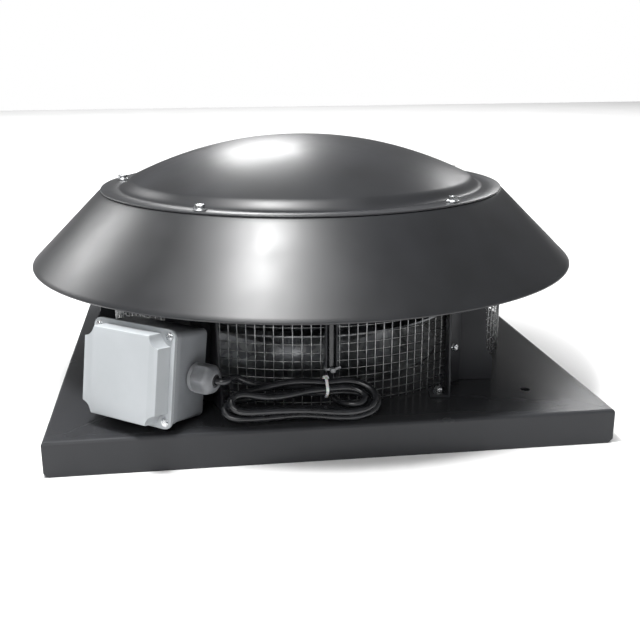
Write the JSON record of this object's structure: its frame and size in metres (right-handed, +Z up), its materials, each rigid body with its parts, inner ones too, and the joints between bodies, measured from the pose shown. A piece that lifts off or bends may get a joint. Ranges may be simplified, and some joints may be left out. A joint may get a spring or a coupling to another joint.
{
  "type": "roof exhaust fan",
  "caption": "Round centrifugal roof exhaust fan: square base pan, folded supports, wire guard, conical weather hood with domed cap, impeller, terminal box and coiled cable.",
  "frame": {"origin": "middle of the base pan's underside, on the plane that its lip stands on", "axes": "+Z up, the axis of the hood and impeller; -Y is the front, the side with the coiled cable; the terminal box is at the front left, towards -X and -Y"},
  "size_m": [0.672, 0.672, 0.3054],
  "materials": {
    "black_powder_coat": "satin powder coat",
    "impeller_aluminium": "mill finish",
    "galvanised_wire": "galvanised",
    "zinc_plated_steel": "zinc plated",
    "cast_motor_black": "painted casting",
    "stator_copper": "laminations and windings",
    "bearing_steel": "ground steel",
    "grey_box_plastic": "fine moulded texture",
    "grey_gland_nylon": "moulded nylon",
    "black_cable_jacket": "satin PVC",
    "seal_rubber": "matt",
    "white_tie_nylon": "natural nylon",
    "terminal_plastic": "moulded"
  },
  "bodies": {
    "fan_frame": {"base_pan": "black_powder_coat", "hood_cone": "black_powder_coat", "hood_cap": "black_powder_coat", "motor_spider": "black_powder_coat", "cable_channel": "black_powder_coat", "box_bracket": "black_powder_coat", "support_front_left": "black_powder_coat", "support_front_right": "black_powder_coat", "support_right": "black_powder_coat", "support_back": "black_powder_coat", "support_left": "black_powder_coat", "inlet_cone": "impeller_aluminium", "wire_guard": "galvanised_wire", "cap_bolt_front_left": "zinc_plated_steel", "cap_bolt_front_right": "zinc_plated_steel", "cap_bolt_right": "zinc_plated_steel", "cap_bolt_back": "zinc_plated_steel", "cap_bolt_left": "zinc_plated_steel", "foot_bolt_front_left_a": "zinc_plated_steel", "foot_bolt_front_left_b": "zinc_plated_steel", "foot_bolt_front_right_a": "zinc_plated_steel", "foot_bolt_front_right_b": "zinc_plated_steel", "foot_bolt_right_a": "zinc_plated_steel", "foot_bolt_right_b": "zinc_plated_steel", "foot_bolt_back_a": "zinc_plated_steel", "foot_bolt_back_b": "zinc_plated_steel", "foot_bolt_left_a": "zinc_plated_steel", "foot_bolt_left_b": "zinc_plated_steel", "lid_screw_top_left": "zinc_plated_steel", "lid_screw_top_right": "zinc_plated_steel", "lid_screw_bottom_left": "zinc_plated_steel", "lid_screw_bottom_right": "zinc_plated_steel", "stator_flange": "cast_motor_black", "stator_core": "stator_copper", "bearing_lower": "bearing_steel", "bearing_upper": "bearing_steel", "box_lid": "grey_box_plastic", "box_base": "grey_box_plastic", "gland_body": "grey_gland_nylon", "gland_nut": "grey_gland_nylon", "riser_tie": "grey_gland_nylon", "cable_lead": "black_cable_jacket", "cable_hank": "black_cable_jacket", "cable_riser": "black_cable_jacket", "box_gasket": "seal_rubber", "gland_seal": "seal_rubber", "cable_grommet": "seal_rubber", "cable_tie": "white_tie_nylon", "terminal_block": "terminal_plastic"},
    "rotor": {"rotor_can": "cast_motor_black", "motor_shaft": "bearing_steel", "impeller_backplate": "impeller_aluminium", "impeller_shroud": "impeller_aluminium", "impeller_blade_1": "impeller_aluminium", "impeller_blade_2": "impeller_aluminium", "impeller_blade_3": "impeller_aluminium", "impeller_blade_4": "impeller_aluminium", "impeller_blade_5": "impeller_aluminium", "impeller_blade_6": "impeller_aluminium", "impeller_blade_7": "impeller_aluminium"}
  },
  "joints": [
    {"name": "impeller_spin", "type": "hinge", "parent": "fan_frame", "child": "rotor", "pos_m": [0, 0, 0.158], "axis": [0, 0, 1], "continuous": true}
  ]
}
